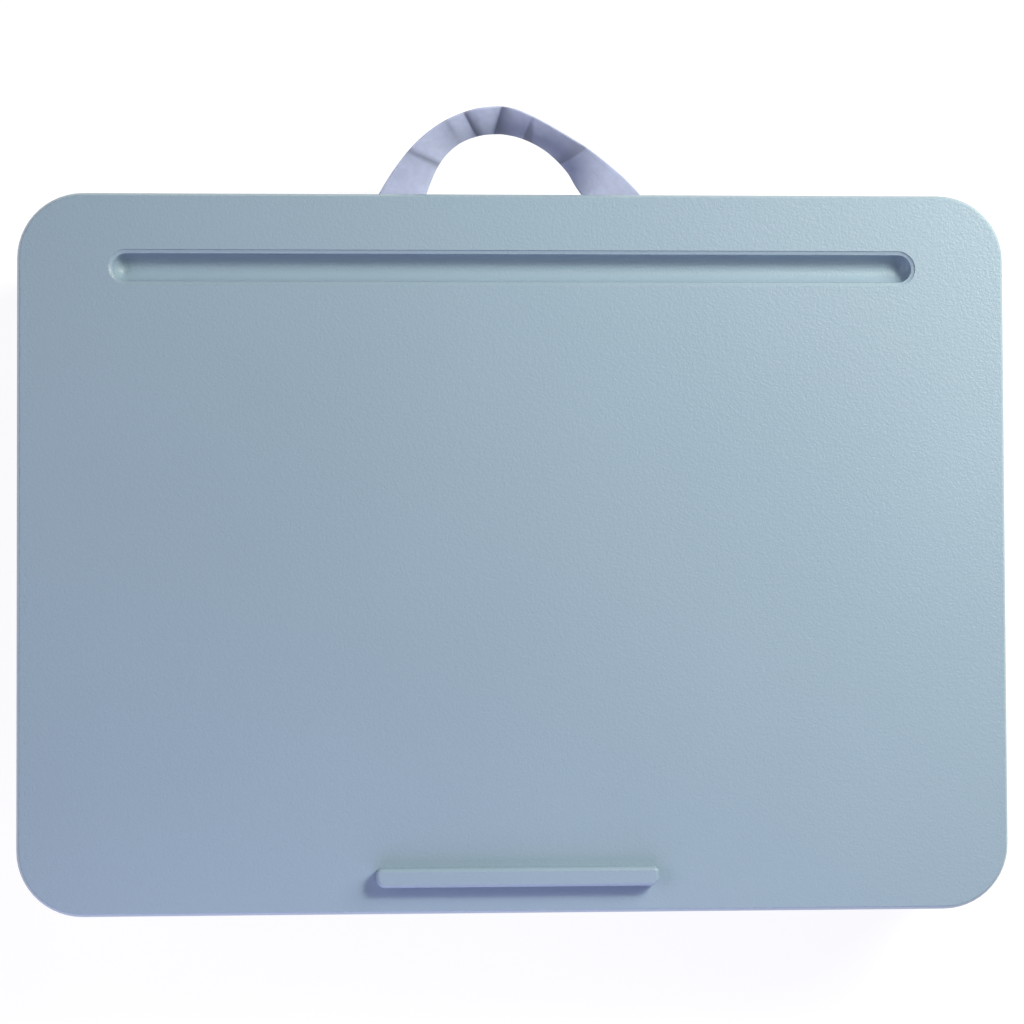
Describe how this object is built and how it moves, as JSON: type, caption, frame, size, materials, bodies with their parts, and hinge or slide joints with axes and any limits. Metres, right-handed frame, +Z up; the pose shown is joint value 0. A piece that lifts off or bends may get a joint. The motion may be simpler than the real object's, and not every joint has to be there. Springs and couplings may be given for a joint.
{
  "type": "lap desk with lift lid",
  "caption": "Lap desk: a rounded lid with a long media slot and a device ledge, lifting off a shallow storage tray on a soft cushion, with a cloth carry strap behind.",
  "frame": {"origin": "on the flat face that the cushion rests on, under the middle of the lid", "axes": "+X to the user's right along the desk's width, +Y away from the user towards the carry strap, +Z up"},
  "size_m": [0.4454, 0.3676, 0.088],
  "materials": {
    "lid_plastic": "matte, fine spark texture",
    "tray_plastic": "matte, fine spark texture",
    "screw_steel": "zinc plated",
    "pin_steel": "satin",
    "bumper_rubber": "matte",
    "fibreboard": "raw",
    "cushion_cloth": "plain weave",
    "filling": "fibre",
    "strap_cloth": "satin weave"
  },
  "bodies": {
    "base": {"base_tray": "tray_plastic", "hinge_pin_left": "pin_steel", "hinge_pin_right": "pin_steel", "bumper_front_left": "bumper_rubber", "bumper_front_right": "bumper_rubber", "bumper_back_left": "bumper_rubber", "bumper_back_right": "bumper_rubber", "cushion_board": "fibreboard", "board_screws": "screw_steel", "cover_staples": "screw_steel", "cushion_cover": "cushion_cloth", "cushion_filling": "filling", "handle_ends": "strap_cloth", "handle_clamp_left": "screw_steel", "handle_clamp_right": "screw_steel", "handle_screws": "screw_steel"},
    "lid": {"lid": "lid_plastic", "device_ledge": "lid_plastic", "ledge_screws": "screw_steel"},
    "handle": {"handle_strap": "strap_cloth"}
  },
  "joints": [
    {"name": "lid_hinge", "type": "hinge", "parent": "base", "child": "lid", "pos_m": [0, 0.154, 0.069], "axis": [-1, 0, 0], "range_deg": [0, 110]},
    {"name": "strap_swing", "type": "hinge", "parent": "base", "child": "handle", "pos_m": [0, 0.147, 0.048], "axis": [1, 0, 0], "range_deg": [-50, 25]}
  ]
}
